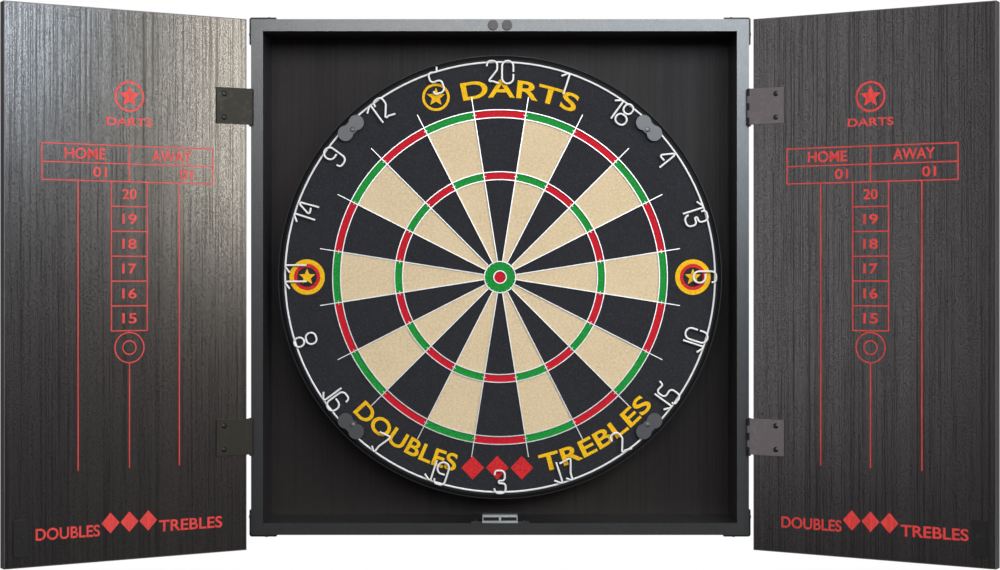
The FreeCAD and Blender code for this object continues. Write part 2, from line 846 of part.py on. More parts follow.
def build_case():
    save("top_panel", cap_panel(1))
    save("bottom_panel", cap_panel(-1))
    save("left_side_panel", side_panel(-1))
    save("right_side_panel", side_panel(1))
    save("back_panel", back_panel())
    save("panel_dowels", *dowels(dowel_radius, 0))
    for end_name, end in (("top", 1), ("bottom", -1)):
        for side_name, side in (("left", -1), ("right", 1)):
            save(f"{end_name}_{side_name}_corner_bracket", corner_bracket(side, end))
    save("corner_bracket_screws", *[dome_screw(seat, direction, bracket_screw_length,
                                               head_height=bracket_head_height)
                                    for seat, direction in bracket_screw_seats()])
    save("left_door_bumper", door_bumper(-1))
    save("right_door_bumper", door_bumper(1))
    save("catch_housing", catch_housing())
    save("catch_pole_plates", *catch_pole_plates())
    save("catch_magnets", *catch_magnets())
    save("catch_screws", *[dome_screw(seat, direction, catch_screw_length)
                           for seat, direction in catch_screw_seats()])
    save("board_hanger", board_hanger())
    save("board_hanger_screws", *[dome_screw(seat, direction, hanger_screw_length)
                                  for seat, direction in hanger_screw_seats()])


def build_hinges():
    frame_screws = []
    for side_name, side in (("left", -1), ("right", 1)):
        for level, centre in zip(("upper", "lower"), hinge_centres()):
            leaf = frame_leaf(centre)
            pin = hinge_pin(centre)
            save(f"{level}_{side_name}_hinge_frame_leaf", leaf if side > 0 else mirrored(leaf))
            save(f"{level}_{side_name}_hinge_pin", pin if side > 0 else mirrored(pin))
            save(f"{level}_{side_name}_hinge_door_leaf", opened(door_leaf(centre), side))
        frame_screws += [dome_screw(seat, direction, hinge_screw_length)
                         for seat, direction in frame_leaf_screw_seats(side)]
    save("hinge_frame_screws", *frame_screws)


def build_door(side_name, side):
    save(f"{side_name}_door_panel", opened(door_panel(), side))
    save(f"{side_name}_door_edge_bands", *[opened(strip, side) for strip in door_edge_bands()])
    save(f"{side_name}_door_hinge_screws",
         *[opened(dome_screw(seat, direction, hinge_screw_length), side)
           for seat, direction in door_leaf_screw_seats()])
    save(f"{side_name}_strike_plate", opened(strike_plate(), side))
    save(f"{side_name}_strike_screw", opened(strike_screw(), side))


def build_board():
    save("board_backing", board_backing())
    save("sisal_disc", sisal_disc())
    save("board_band", board_band())
    save("spider_web", spider_web())
    save("bull_rings", *bull_rings())
    save("number_ring", number_ring())
    save("ring_numerals", *ring_numerals())
    save("hanger_bolt", hanger_bolt())
    save("rear_supports", *rear_supports())
    save("ring_clip_screws", *clip_screws())
    for name, degrees in clip_angles().items():
        save(f"{name}_ring_clip", ring_clip(degrees))


os.makedirs("parts", exist_ok=True)
build_case()
build_hinges()
for door_side_name, door_side in (("left", -1), ("right", 1)):
    build_door(door_side_name, door_side)
build_board()
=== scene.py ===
import json
import math

import bpy
import bmesh
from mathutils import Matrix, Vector


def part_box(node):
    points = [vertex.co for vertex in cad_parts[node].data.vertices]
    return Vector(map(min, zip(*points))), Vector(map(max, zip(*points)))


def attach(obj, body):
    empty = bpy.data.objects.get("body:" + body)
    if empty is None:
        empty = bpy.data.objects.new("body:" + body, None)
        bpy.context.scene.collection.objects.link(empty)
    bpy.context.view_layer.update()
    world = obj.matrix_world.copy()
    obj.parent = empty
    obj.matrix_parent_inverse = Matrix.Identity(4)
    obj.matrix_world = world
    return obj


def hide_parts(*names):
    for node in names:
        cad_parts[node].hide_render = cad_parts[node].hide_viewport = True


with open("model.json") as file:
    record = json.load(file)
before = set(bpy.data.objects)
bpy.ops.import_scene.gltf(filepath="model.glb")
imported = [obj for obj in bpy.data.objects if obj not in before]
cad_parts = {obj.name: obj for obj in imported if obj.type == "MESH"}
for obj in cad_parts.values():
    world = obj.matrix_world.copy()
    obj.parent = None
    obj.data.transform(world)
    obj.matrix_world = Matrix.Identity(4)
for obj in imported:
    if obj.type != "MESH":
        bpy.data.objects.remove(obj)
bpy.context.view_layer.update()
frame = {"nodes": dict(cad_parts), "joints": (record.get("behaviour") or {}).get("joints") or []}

nodes = frame["nodes"]
joints = {joint["name"]: joint for joint in frame["joints"]}
scene = bpy.context.scene
mm = 0.001
print("cabinet frame loaded:", len(nodes), "CAD nodes")


# camera and light

view = {"distance": 1.941, "height": -0.00125, "lens": 66.9, "sensor": 36, "shiftY": -0.0067}

camera = bpy.data.objects.new("camera", bpy.data.cameras.new("camera"))
camera.location = (0, -view["distance"], view["height"])
camera.rotation_euler = (math.pi / 2, 0, 0)
camera.data.lens = view["lens"]
camera.data.sensor_width = view["sensor"]
camera.data.shift_y = view["shiftY"]
scene.collection.objects.link(camera)
scene.camera = camera
scene.view_settings.view_transform = "Standard"

softboxes = {
    "overheadBox": {"at": (0.2, -1.5, 1.7), "to": (0, 0, 0), "size": (1.6, 1.0),
                    "power": 15, "tint": (1, 1, 1)},
    "coolSideBox": {"at": (0.91, -1.64, 0.64), "to": (-0.4, -0.15, 0.1), "size": (0.38, 0.6),
                    "power": 10.5, "tint": (0.82, 0.9, 1)},
    "warmSideBox": {"at": (1.46, -1.12, 0.44), "to": (-0.3, -0.1, 0.1), "size": (0.42, 0.7),
                    "power": 14, "tint": (1, 0.92, 0.78)},
    "leftSideBox": {"at": (-2.1, -1.35, 0.62), "to": (0.35, -0.1, 0), "size": (1.8, 2.1),
                    "power": 14, "tint": (1, 0.96, 0.96)},
    "frontFill": {"at": (0.25, -2.8, 0.85), "to": (0, 0, 0), "size": (1.8, 0.9),
                  "power": 38.5, "tint": (0.96, 0.98, 1)},
    "rearBox": {"at": (-0.5, 2.5, 1.1), "to": (0, 0, 0), "size": (2.4, 1.6),
                "power": 55, "tint": (1, 1, 1)},
    "tealBox": {"at": (0.55, -2.6, 0.5), "to": (0.1, 0, 0.1), "size": (0.7, 0.5),
                "power": 2.2, "tint": (0.3, 0.7, 1)},
}

for name, box in softboxes.items():
    lamp = bpy.data.lights.new(name, "AREA")
    lamp.shape = "RECTANGLE"
    lamp.size, lamp.size_y = box["size"]
    lamp.energy = box["power"]
    lamp.color = box["tint"]
    holder = bpy.data.objects.new(name, lamp)
    holder.location = box["at"]
    aim = Vector(box["to"]) - Vector(box["at"])
    holder.rotation_euler = aim.to_track_quat("-Z", "Y").to_euler()
    holder.visible_camera = False
    scene.collection.objects.link(holder)
print("camera and softboxes made")


# shader maths

class Signal:
    # one output socket; sums and products of signals add their own Math nodes
    def __init__(self, finish, socket):
        self.finish, self.socket = finish, socket

    def maths(self, operation, first, second):
        return self.finish.node("ShaderNodeMath", {"operation": operation}, {0: first, 1: second})

    def __add__(self, other): return self.maths("ADD", self, other)
    def __radd__(self, other): return self.maths("ADD", other, self)
    def __sub__(self, other): return self.maths("SUBTRACT", self, other)
    def __rsub__(self, other): return self.maths("SUBTRACT", other, self)
    def __mul__(self, other): return self.maths("MULTIPLY", self, other)
    def __rmul__(self, other): return self.maths("MULTIPLY", other, self)


class Finish:
    # the nodes of one material or world
    def __init__(self, name, library="materials"):
        self.block = getattr(bpy.data, library).new(name)
        self.block.use_nodes = True
        self.tree = self.block.node_tree
        self.tree.nodes.clear()

    def node(self, kind, settings=None, sockets=None, output=0):
        # settings first, then each socket's value or link
        made = self.tree.nodes.new(kind)
        for key, value in (settings or {}).items():
            setattr(made, key, value)
        for key, value in (sockets or {}).items():
            if isinstance(value, Signal):
                self.tree.links.new(value.socket, made.inputs[key])
            else:
                made.inputs[key].default_value = value
        return Signal(self, made.outputs[output]) if made.outputs else None

    def place(self, stretch):
        # object coordinates in metres, multiplied along each axis
        coordinates = self.node("ShaderNodeTexCoord", output=3)
        return self.node("ShaderNodeVectorMath", {"operation": "MULTIPLY"},
                         {0: coordinates, 1: stretch})

    def reach(self, axes):
        # distance from the piece's origin, counting only the axes set to 1
        return self.node("ShaderNodeVectorMath", {"operation": "LENGTH"}, {0: self.place(axes)},
                         output=1)

    def noise(self, stretch, detail=3.0, roughness=0.55):
        return self.node("ShaderNodeTexNoise", None, {
            "Vector": self.place(stretch), "Scale": 1.0, "Detail": detail,
            "Roughness": roughness})

    def ramp(self, signal, low, high):
        # 0 at low, 1 at high, smooth between
        return self.node("ShaderNodeMapRange", {"interpolation_type": "SMOOTHSTEP"},
                         {"Value": signal, "From Min": low, "From Max": high})

    def mixed(self, factor, first, second, blend="MIX"):
        return self.node("ShaderNodeMix", {"data_type": "RGBA", "blend_type": blend},
                         {0: factor, 6: first, 7: second}, output=2)

    def bump(self, height, strength, depth):
        return self.node("ShaderNodeBump", None,
                         {"Height": height, "Strength": strength, "Distance": depth})

    def surface(self, sockets):
        shader = self.node("ShaderNodeBsdfPrincipled", None, sockets)
        self.node("ShaderNodeOutputMaterial", None, {"Surface": shader})
        return self.block


def colour(red, green, blue):
    # screen values 0 to 255, to the linear colour a shader takes
    linear = [((v / 255 + 0.055) / 1.055) ** 2.4 if v > 10 else v / 255 / 12.92
              for v in (red, green, blue)]
    return (*linear, 1.0)


def having(*parts):
    # the CAD nodes with any of these in their names
    return [name for name in nodes if any(part in name for part in parts)]


def dress(material, *names):
    for name in names:
        for slot in nodes[name].material_slots:
            slot.material = material


# wood-grain laminates

# noise per metre across the grain, then along it for a run of 1
grain = {
    "bands": (45, 0.14), "streaks": (760, 0.5), "pores": (1500, 5), "fleck": (1500, 1500, 1200),
    "streakShare": 0.55, "poreShare": 0.3, "fleckShare": 0.15, "bandShare": 0.04,
    "spread": (0.3, 0.7), "coatFloor": 0.25, "coatFleck": 1.5, "rough": 0.5, "fleckRough": 0.1,
    "fleckRelief": 0.5, "specular": 0.03, "bump": 0.12, "depth": 0.05 * mm,
}


def grainLaminate(name, recipe):
    # thin pores gathered in broad bands; a pore holds less of the clear coat and is slightly sunk
    finish = Finish(name)

    def drawnOut(layer):
        across, along = grain[layer]
        return across, across, along * recipe["run"]

    bands = finish.ramp(finish.noise(drawnOut("bands"), detail=2.0), *grain["spread"])
    streaks = finish.noise(drawnOut("streaks"), detail=4.0, roughness=0.7)
    pores = finish.noise(drawnOut("pores"), detail=2.0, roughness=0.6)
    fleck = finish.noise(grain["fleck"], detail=1.0)
    height = (streaks * grain["streakShare"] + pores * grain["poreShare"]
              + fleck * grain["fleckShare"] + bands * grain["bandShare"])
    filled = finish.ramp(height, recipe["poreStart"], recipe["poreEnd"])
    ground = finish.mixed(bands, recipe["shade"], recipe["ground"])
    glint = finish.ramp(fleck, *grain["spread"])
    gloss = grain["coatFloor"] + grain["coatFleck"] * glint * filled
    return finish.surface({
        "Base Color": finish.mixed(filled, recipe["pore"], ground),
        "Roughness": grain["rough"] + grain["fleckRough"] * fleck,
        "Specular IOR Level": grain["specular"],
        "Coat Weight": recipe["coatLeast"] + gloss * recipe["coatRise"],
        "Coat Roughness": recipe["coatRough"], "Coat IOR": recipe["coatIor"],
        "Normal": finish.bump(filled + grain["fleckRelief"] * fleck, grain["bump"],
                              grain["depth"])})


doorSkin = {
    "ground": colour(34, 28, 29), "shade": colour(31, 26, 27), "pore": colour(27, 23, 24),
    "run": 5, "poreStart": 0.42, "poreEnd": 0.58,
    "coatLeast": 0.14, "coatRise": 0.72, "coatRough": 0.24, "coatIor": 1.9,
}
backSkin = {
    "ground": colour(42, 37, 36), "shade": colour(39, 35, 34), "pore": colour(36, 32, 32),
    "run": 5, "poreStart": 0.4, "poreEnd": 0.6,
    "coatLeast": 0.16, "coatRise": 0.12, "coatRough": 0.36, "coatIor": 1.4,
}
caseSkin = {
    "ground": colour(36, 36, 38), "shade": colour(35, 35, 37), "pore": colour(32, 32, 33),
    "run": 150, "poreStart": 0.4, "poreEnd": 0.62,
    "coatLeast": 0.8, "coatRise": 0.2, "coatRough": 0.29, "coatIor": 1.82,
}
tapeSkin = {
    "ground": colour(80, 78, 80), "shade": colour(74, 72, 74), "pore": colour(66, 64, 66),
    "run": 40, "poreStart": 0.4, "poreEnd": 0.6,
    "coatLeast": 0.6, "coatRise": 0.3, "coatRough": 0.42, "coatIor": 1.65,
}

dress(grainLaminate("dark_grain_laminate", doorSkin), "left_door_panel", "right_door_panel")
dress(grainLaminate("back_panel_laminate", backSkin), "back_panel")
dress(grainLaminate("case_laminate", caseSkin),
      "top_panel", "bottom_panel", "left_side_panel", "right_side_panel")
dress(grainLaminate("door_edge_tape", tapeSkin), "left_door_edge_bands", "right_door_edge_bands")
print("laminates made")


# painted, plated and moulded finishes

enamel = {"mottle": (160, 160, 160), "peel": (1500, 1500, 1500), "rubStart": 0.5, "rubEnd": 0.72,
          "polish": 0.1, "grit": 0.06, "depth": 0.04 * mm}
drawing = {"smudge": (60, 60, 60), "lineRough": 0.18, "smudgeRough": 0.08, "bump": 0.25,
           "depth": 0.03 * mm}
moulding = {"stipple": (2200, 2200, 2200), "cloud": (90, 90, 90), "speckStart": 0.56,
            "speckEnd": 0.68, "speckShare": 0.6, "cloudShare": 0.2, "stippleRough": 0.12,
            "depth": 0.08 * mm}


def coatedMetal(name, recipe):
    # paint or plating over steel: faint mottling, orange peel and rubbed patches
    finish = Finish(name)
    mottle = finish.noise(enamel["mottle"], detail=4.0)
    peel = finish.noise(enamel["peel"], detail=1.0)
    rubbed = finish.ramp(mottle, enamel["rubStart"], enamel["rubEnd"])
    return finish.surface({
        "Base Color": finish.mixed(rubbed, recipe["coat"], recipe["rubbed"]),
        "Roughness": recipe["rough"] - enamel["polish"] * rubbed + enamel["grit"] * peel,
        "Metallic": recipe["metallic"], "Specular IOR Level": recipe["gloss"],
        "Normal": finish.bump(peel, recipe["peel"], enamel["depth"])})


def drawnMetal(name, recipe):
    # bare metal with fine drawing lines along one axis
    finish = Finish(name)
    lines = finish.noise(recipe["lines"], detail=3.0, roughness=0.7)
    smudge = finish.noise(drawing["smudge"], detail=3.0)
    return finish.surface({
        "Base Color": finish.mixed(lines, recipe["low"], recipe["high"]),
        "Roughness": (recipe["rough"] + drawing["lineRough"] * lines
                      + drawing["smudgeRough"] * smudge),
        "Metallic": 1.0, "Normal": finish.bump(lines, drawing["bump"], drawing["depth"])})


def catchFinish(name, recipe):
    # bright drawn box between two feet darkened to the case's tone, which is painted shade on the
    # feet
    finish = Finish(name)
    lines = finish.noise(recipe["lines"], detail=3.0, roughness=0.7)
    shadedFoot = finish.ramp(finish.reach((1, 0, 0)), recipe["halfBox"],
                       recipe["halfBox"] + recipe["shadeEdge"])
    shell = finish.mixed(lines, recipe["low"], recipe["high"])
    return finish.surface({
        "Base Color": finish.mixed(shadedFoot, shell, recipe["paint"]),
        "Roughness": (recipe["rough"] + drawing["lineRough"] * lines
                      + recipe["shadeRough"] * shadedFoot),
        "Metallic": 1 - shadedFoot, "Normal": finish.bump(lines, drawing["bump"], drawing["depth"])})


def mouldedPlastic(name, recipe):
    # spark-eroded plastic: pale speckle on a fine stipple
    finish = Finish(name)
    stipple = finish.noise(moulding["stipple"], detail=2.0, roughness=0.7)
    cloud = finish.noise(moulding["cloud"], detail=2.0)
    speck = finish.ramp(stipple, moulding["speckStart"], moulding["speckEnd"])
    return finish.surface({
        "Base Color": finish.mixed(
            speck * moulding["speckShare"] + cloud * moulding["cloudShare"],
            recipe["body"], recipe["speck"]),
        "Roughness": recipe["rough"] + moulding["stippleRough"] * stipple,
        "Specular IOR Level": recipe["gloss"],
        "Normal": finish.bump(stipple, recipe["stipple"], moulding["depth"])})


hingeCoat = {"coat": colour(99, 92, 93), "rubbed": colour(108, 102, 102), "rough": 0.5,
             "metallic": 0.0, "peel": 0.3, "gloss": 0.25}
# a darker copy of the hinge enamel for the left hinges, as painted shade
shadedHingeCoat = dict(hingeCoat, coat=colour(36, 35, 29), rubbed=colour(43, 41, 35))
blackCoat = {"coat": colour(26, 26, 27), "rubbed": colour(34, 34, 35), "rough": 0.4,
             "metallic": 0.0, "peel": 0.3, "gloss": 0.3}
screwCoat = {"coat": colour(40, 39, 39), "rubbed": colour(66, 65, 65), "rough": 0.3,
             "metallic": 0.4, "peel": 0.2, "gloss": 0.5}
clipScrewCoat = dict(screwCoat, coat=colour(96, 97, 100), rubbed=colour(140, 141, 144))
whiteCoat = {"coat": colour(222, 221, 221), "rubbed": colour(232, 232, 232), "rough": 0.3,
             "metallic": 0.0, "peel": 0.2, "gloss": 0.5}
bandCoat = {"coat": colour(18, 18, 20), "rubbed": colour(26, 26, 28), "rough": 0.45,
            "metallic": 0.0, "peel": 0.3, "gloss": 0.3}

dress(coatedMetal("hinge_enamel", hingeCoat), *having("right_hinge_door"))
dress(coatedMetal("painted_shade_hinge_enamel", shadedHingeCoat), *having("left_hinge"))
dress(coatedMetal("black_enamel", blackCoat),
      *having("right_hinge_frame", "right_hinge_pin", "strike_plate",
              "left_corner_bracket", "right_corner_bracket"))
dress(coatedMetal("blackened_screw", screwCoat), *having("screw"))
dress(coatedMetal("grey_clip_screw", clipScrewCoat), "ring_clip_screws")
dress(coatedMetal("white_wire_enamel", whiteCoat), "number_ring", "ring_numerals")
dress(coatedMetal("board_band_enamel", bandCoat), "board_band")

wireMetal = {"low": colour(190, 189, 188), "high": colour(250, 250, 250), "rough": 0.3,
             "lines": (400, 400, 400)}
plateMetal = {"low": colour(190, 190, 190), "high": colour(235, 235, 235), "rough": 0.25,
              "lines": (30, 900, 900)}
magnetMetal = {"low": colour(40, 41, 43), "high": colour(58, 59, 60), "rough": 0.55,
               "lines": (600, 600, 600)}
# paint is painted shade on the catch's feet, darker than the bright box
housingMetal = {"low": colour(186, 190, 190), "high": colour(232, 234, 234), "rough": 0.28,
                "lines": (30, 900, 900), "halfBox": 17.7 * mm, "shadeEdge": 0.3 * mm,
                "paint": colour(28, 28, 30), "shadeRough": 0.15}
webWire = drawnMetal("scoring_wire", wireMetal)
dress(webWire, "spider_web", "bull_rings")
dress(drawnMetal("pole_plate_steel", plateMetal),
      "catch_pole_plates", "hanger_bolt", "board_hanger")
dress(catchFinish("catch_shell", housingMetal), "catch_housing")
dress(drawnMetal("magnet_ferrite", magnetMetal), "catch_magnets")

clipBody = {"body": colour(38, 38, 41), "speck": colour(58, 58, 62), "rough": 0.34,
            "stipple": 0.5, "gloss": 1.0}
padBody = {"body": colour(80, 79, 82), "speck": colour(102, 101, 104), "rough": 0.7,
           "stipple": 0.8, "gloss": 0.7}
rubberBody = {"body": colour(30, 30, 31), "speck": colour(40, 40, 41), "rough": 0.8,
              "stipple": 0.5, "gloss": 0.4}
dress(mouldedPlastic("ring_clip_plastic", clipBody), *having("left_ring_clip", "right_ring_clip"))
dress(mouldedPlastic("bumper_pad", padBody), "left_door_bumper", "right_door_bumper")
dress(mouldedPlastic("support_rubber", rubberBody), "rear_supports")


chipping = {"flakeShare": 0.25, "rough": 0.75, "chipRough": 0.15, "bump": 0.4, "depth": 0.2 * mm}


def pressedBoard(name, recipe):
    # flakes or fibres of a pale and a dark wood, pressed flat
    finish = Finish(name)
    flakes = finish.node("ShaderNodeTexVoronoi", None,
                         {"Vector": finish.place(recipe["flake"]), "Scale": 1.0}, output=1)
    chips = finish.noise(recipe["flake"], detail=4.0)
    woods = finish.mixed(chips, recipe["dark"], recipe["pale"])
    return finish.surface({
        "Base Color": finish.mixed(chipping["flakeShare"], woods, flakes, "SOFT_LIGHT"),
        "Roughness": chipping["rough"] + chipping["chipRough"] * chips,
        "Normal": finish.bump(chips, chipping["bump"], chipping["depth"])})


backingChips = {"pale": colour(188, 158, 118), "dark": colour(120, 92, 62),
                "flake": (220, 220, 90)}
dowelBeech = {"pale": colour(208, 178, 138), "dark": colour(176, 142, 102),
              "flake": (500, 500, 30)}
dress(pressedBoard("backing_chipboard", backingChips), "board_backing")
dress(pressedBoard("dowel_beech", dowelBeech), "panel_dowels")
print("metal, plastic and wood finishes made")


# dyed sisal face

# dye, fleck and blotch of each patch; face slots follow this order
sisalDyes = {
    "black": (colour(38, 38, 43), colour(78, 80, 86), colour(30, 31, 36)),
    "cream": (colour(208, 188, 156), colour(238, 226, 200), colour(194, 172, 136)),
    "red": (colour(192, 22, 40), colour(214, 70, 80), colour(168, 16, 32)),
    "green": (colour(22, 140, 52), colour(70, 172, 90), colour(18, 118, 44)),
    # the rim is the black sisal edge, dyed darker than the black field as painted shade where the
    # board's edge falls back behind the number ring
    "rim": (colour(14, 14, 16), colour(30, 30, 33), colour(10, 10, 12)),
}
# radii and rim in millimetres
sisalFace = {
    "radii": (6.35, 15.9, 99, 107, 162, 170), "sectors": 20, "stepsPerSector": 12,
    "rimWidth": 3.4, "rimFall": 1.6,
}
fibre = {
    "ends": (1100, 500, 1100), "clumps": (420, 300, 420), "slow": (34, 34, 34),
    "palerEnds": (0.52, 0.78), "clumpSpread": (0.36, 0.64), "slowSpread": (0.35, 0.65),
    "fleckShare": 0.7, "slowShare": 0.35, "rough": 0.82, "clumpRough": 0.12, "specular": 0.2,
    "clumpRelief": 0.6, "bump": 0.55, "depth": 0.25 * mm,
}


def dyedSisal(name, dye, fleck, blotch):
    # fibre ends seen end on, with a few paler ones and slow blotches of dye
    finish = Finish(name)
    ends = finish.noise(fibre["ends"], detail=3.0, roughness=0.75)
    clumps = finish.noise(fibre["clumps"], detail=3.0, roughness=0.65)
    slow = finish.noise(fibre["slow"], detail=2.0)
    paler = finish.ramp(ends, *fibre["palerEnds"])
    even = fibre["slowShare"] * finish.ramp(slow, *fibre["slowSpread"])
    tone = finish.mixed(finish.ramp(clumps, *fibre["clumpSpread"]), blotch, dye)
    tone = finish.mixed(even, tone, dye)
    return finish.surface({
        "Base Color": finish.mixed(paler * fibre["fleckShare"], tone, fleck),
        "Roughness": fibre["rough"] + fibre["clumpRough"] * clumps,
        "Specular IOR Level": fibre["specular"],
        "Normal": finish.bump(ends + fibre["clumpRelief"] * clumps, fibre["bump"],
                              fibre["depth"])})


def boardPoint(radius, degrees, y):
    # degrees run clockwise from the top, as the board is read
    angle = math.radians(degrees)
    return Vector((radius * math.sin(angle), y, radius * math.cos(angle)))


def linked(name, shape, *materials):
    mesh = bpy.data.meshes.new(name)
    shape.to_mesh(mesh)
    shape.free()
    for material in materials:
        mesh.materials.append(material)
    piece = bpy.data.objects.new(name, mesh)
    scene.collection.objects.link(piece)
    return piece


def closeLoops(shape, low, high):
    # caps two loops of corners and joins them side by side
    shape.faces.new(low)
    shape.faces.new(high)
    for index in range(len(low)):
        following = (index + 1) % len(low)
        shape.faces.new((low[index], low[following], high[following], high[index]))


discLow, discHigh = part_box("sisal_disc")
discRadius = discHigh.x
discFace, discBack = discLow.y, discHigh.y


def sisalPiece():
    # rings of wedge cells, so that each dye is its own patch of the face
    shape = bmesh.new()
    sectorSteps = sisalFace["stepsPerSector"]
    steps = sisalFace["sectors"] * sectorSteps
    start = -180 / sisalFace["sectors"]
    turn = 360 / steps

    def ring(radius, y):
        return [shape.verts.new(boardPoint(radius, start + step * turn, y))
                for step in range(steps)]

    centre = shape.verts.new((0, discFace, 0))
    radii = [radius * mm for radius in sisalFace["radii"]]
    radii.append(discRadius - sisalFace["rimWidth"] * mm)
    rings = [ring(radius, discFace) for radius in radii]
    rings.append(ring(discRadius, discFace + sisalFace["rimFall"] * mm))
    rings.append(ring(discRadius, discBack))
    dyes = list(sisalDyes)
    for step in range(steps):
        following = (step + 1) % steps
        dark = (step // sectorSteps) % 2 == 0
        field, scoring = ("black", "red") if dark else ("cream", "green")
        bull = shape.faces.new((centre, rings[0][step], rings[0][following]))
        bull.material_index = dyes.index("red")
        # the outer cells take the rim tone, painted shade on the board's edge
        cells = ("green", field, scoring, field, scoring, "black", "rim", "rim")
        for inner, outer, dye in zip(rings, rings[1:], cells):
            cell = shape.faces.new((inner[step], outer[step], outer[following], inner[following]))
            cell.material_index = dyes.index(dye)
    shape.faces.new(rings[-1]).material_index = dyes.index("black")
    bmesh.ops.recalc_face_normals(shape, faces=shape.faces)
    sisals = [dyedSisal(f"sisal_{dye}", *tones) for dye, tones in sisalDyes.items()]
    piece = linked("dyed_sisal_face", shape, *sisals)
    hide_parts("sisal_disc")
    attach(piece, "board")


sisalPiece()
print("sisal face made")


# spider staples

# in millimetres; half is across the spoke, length along it
staples = {
    "radii": (103, 166), "half": 2.2, "length": 0.9, "bullHalf": 0.35, "bullLength": 1.5,
    "height": 1.0, "chamfer": 0.25,
}


def stapleBlock(shape, degrees, radius, half, length):
    # a small bar over a spoke, with chamfered ends
    angle = math.radians(degrees)
    corners = []
    for height, trim in ((0, 0), (staples["height"], staples["chamfer"] * mm)):
        for across, along in ((-1, -1), (1, -1), (1, 1), (-1, 1)):
            sideways = across * (half * mm - trim)
            outwards = (radius + along * length / 2) * mm - along * trim
            corners.append(shape.verts.new((
                sideways * math.cos(angle) + outwards * math.sin(angle),
                discFace - height * mm,
                outwards * math.cos(angle) - sideways * math.sin(angle))))
    closeLoops(shape, corners[:4], corners[4:])


def staplePiece():
    shape = bmesh.new()
    sectorTurn = 360 / sisalFace["sectors"]
    bullEdge = sisalFace["radii"][1]
    for sector in range(sisalFace["sectors"]):
        degrees = (sector + 0.5) * sectorTurn
        for radius in staples["radii"]:
            stapleBlock(shape, degrees, radius, staples["half"], staples["length"])
        stapleBlock(shape, degrees, bullEdge - staples["bullLength"] / 2,
                    staples["bullHalf"], staples["bullLength"])
    bmesh.ops.recalc_face_normals(shape, faces=shape.faces)
    piece = linked("spider_staples", shape, webWire)
    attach(piece, "board")


staplePiece()
print("spider staples made")


# printed marks

# proud and sunk in millimetres; weight thickens the letters
ink = {
    "proud": 0.06, "sunk": 0.03, "weight": 0.018, "pores": (1400, 1400, 30),
    "patches": (300, 300, 300), "poreShare": 0.7, "patchShare": 0.3, "thinned": (0.58, 0.42),
    "wear": 0.7, "rough": 0.42, "poreRough": 0.2, "specular": 0.4, "bump": 0.3,
    "depth": 0.04 * mm,
}


def printInk(name, tone, worn):
    # screen-printed ink that lets the pores below it show
    finish = Finish(name)
    pores = finish.noise(ink["pores"], detail=2.0)
    patches = finish.noise(ink["patches"], detail=3.0)
    depth = pores * ink["poreShare"] + patches * ink["patchShare"]
    thin = finish.ramp(depth, *ink["thinned"])
    return finish.surface({
        "Base Color": finish.mixed(thin * ink["wear"], tone, worn),
        "Roughness": ink["rough"] + ink["poreRough"] * pores,
        "Specular IOR Level": ink["specular"],
        "Normal": finish.bump(pores, ink["bump"], ink["depth"])})


class Stencil:
    # flat marks drawn in millimetres, then laid on a surface as one thin print
    def __init__(self):
        self.shape = bmesh.new()

    def outline(self, points):
        low = [self.shape.verts.new((u, v, -ink["sunk"])) for u, v in points]
        high = [self.shape.verts.new((u, v, ink["proud"])) for u, v in points]
        closeLoops(self.shape, low, high)

    def bar(self, left, low, right, high):
        self.outline([(left, low), (right, low), (right, high), (left, high)])

    def hoop(self, u, v, outer, inner, steps=48):
        for step in range(steps):
            first, second = (2 * math.pi * (step + end) / steps for end in (0, 1))
            ends = ((outer, first), (outer, second), (inner, second), (inner, first))
            self.outline([(u + r * math.cos(a), v + r * math.sin(a)) for r, a in ends])

    def star(self, u, v, tips, waist, points=5):
        corners = []
        for index in range(points * 2):
            reach = waist if index % 2 else tips
            angle = math.pi / 2 + math.pi * index / points
            corners.append((u + reach * math.cos(angle), v + reach * math.sin(angle)))
        self.outline(corners)

    def badge(self, u, v, outer, inner, tips, waist):
        # a star in a ring
        self.hoop(u, v, outer, inner)
        self.star(u, v, tips, waist)

    def diamonds(self, u, v, apart, half, rise):
        # three in a row
        for middle in (u - apart, u, u + apart):
            self.outline([(middle - half, v), (middle, v - rise),
                          (middle + half, v), (middle, v + rise)])

    def words(self, text, u, v, width, height):
        # plain lettering, scaled to fill its box, with u and v at the box's middle
        letters = bpy.data.curves.new("letters", "FONT")
        letters.body, letters.offset, letters.extrude = text, ink["weight"], 0.5
        holder = bpy.data.objects.new("letters", letters)
        scene.collection.objects.link(holder)
        bpy.context.view_layer.update()
        drawn = holder.evaluated_get(bpy.context.evaluated_depsgraph_get())
        mesh = bpy.data.meshes.new_from_object(drawn)
        low = [min(vertex.co[axis] for vertex in mesh.vertices) for axis in (0, 1)]
        high = [max(vertex.co[axis] for vertex in mesh.vertices) for axis in (0, 1)]
        for vertex in mesh.vertices:
            x, y, z = vertex.co
            vertex.co = (u + ((x - low[0]) / (high[0] - low[0]) - 0.5) * width,
                         v + ((y - low[1]) / (high[1] - low[1]) - 0.5) * height,
                         ink["proud"] if z > 0 else -ink["sunk"])
        self.shape.from_mesh(mesh)
        bpy.data.objects.remove(holder)
        bpy.data.curves.remove(letters)
        bpy.data.meshes.remove(mesh)

    def lay(self, name, place, body, material, slotName):
        for vertex in self.shape.verts:
            vertex.co = place(*vertex.co)
        bmesh.ops.recalc_face_normals(self.shape, faces=self.shape.faces)
        piece = linked(name, self.shape, material)
        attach(piece, body)


